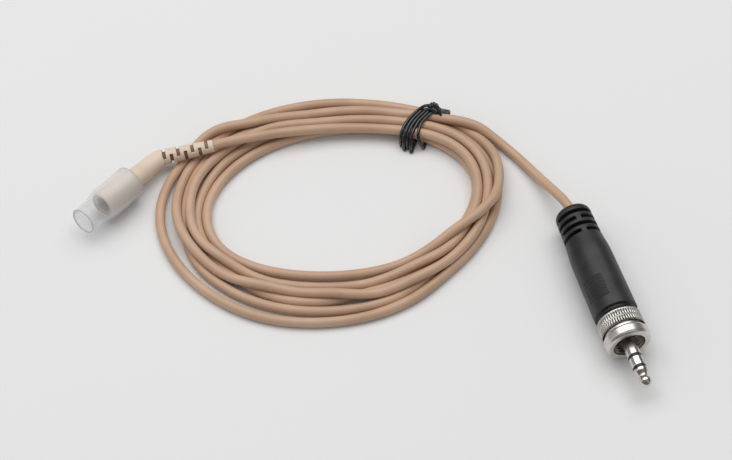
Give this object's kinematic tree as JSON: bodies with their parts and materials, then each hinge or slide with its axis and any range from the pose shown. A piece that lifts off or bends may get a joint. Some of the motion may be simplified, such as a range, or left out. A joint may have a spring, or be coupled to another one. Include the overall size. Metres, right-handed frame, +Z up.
{
  "type": "headset microphone cable",
  "caption": "Coiled skin-tone headset microphone lead with an angled guarded connector, a tie round the coil and a locking 3.5 mm plug.",
  "frame": {"origin": "on the surface it lies on, under the middle of the small angled connector with its clear sleeve", "axes": "+Z up; +X along the longer side of the small connector, from its open mouth towards the cord; +Y away from the viewer across the coil"},
  "size_m": [0.1386, 0.089, 0.012],
  "materials": {
    "beige_plastic": "smooth moulded, light cream beige",
    "beige_boot": "soft moulded, light cream beige, satin",
    "clear_sleeve": "clear, slightly milky, glossy",
    "dark_insulator": "grey-brown moulding, matte",
    "gold_contact": "bright brass",
    "tinned_shell": "tinned, dull",
    "natural_mould": "natural white moulding",
    "conductor": "thin insulated wires",
    "cord_jacket": "satin skin-tone jacket",
    "black_tie": "shiny black coated wire",
    "black_boot": "satin black moulding",
    "black_bush": "black moulding",
    "spring_steel": "spring steel",
    "nickel": "nickel plated, satin on the knurl and bright on the contacts",
    "black_insulator": "black moulding"
  },
  "bodies": {
    "lead": {"connector_housing": "beige_plastic", "connector_boot": "beige_boot", "socket_insulator": "dark_insulator", "contact_sockets": "gold_contact", "shield_shell": "tinned_shell", "inner_mould": "natural_mould", "crimp_ferrule": "tinned_shell", "connector_wires": "conductor", "cord_start": "cord_jacket", "cord_coil": "cord_jacket", "cord_lead": "cord_jacket", "cord_tie": "black_tie", "plug_boot": "black_boot", "plug_inner_mould": "natural_mould", "cable_clamp": "gold_contact", "plug_wires": "conductor", "solder_lugs": "gold_contact", "plug_neck": "black_bush", "sleeve_contact": "nickel", "rear_insulator": "black_insulator", "ring_contact": "nickel", "front_insulator": "black_insulator", "tip_contact": "nickel"},
    "guard_sleeve": {"protective_sleeve": "clear_sleeve"},
    "ring_clip": {"retaining_clip": "spring_steel"},
    "ring": {"lock_ring": "nickel"}
  },
  "joints": [
    {"name": "sleeve_pull", "type": "slide", "parent": "lead", "child": "guard_sleeve", "axis": [-0.6393, -0.7618, 0.1045], "range_m": [0, 0.02]},
    {"name": "ring_float", "type": "slide", "parent": "lead", "child": "ring_clip", "axis": [0.309, -0.9511, 0], "range_m": [0, 0.0012]},
    {"name": "ring_spin", "type": "hinge", "parent": "ring_clip", "child": "ring", "pos_m": [0.11554, -0.04324, 0.00565], "axis": [0.309, -0.9511, 0], "continuous": true}
  ]
}
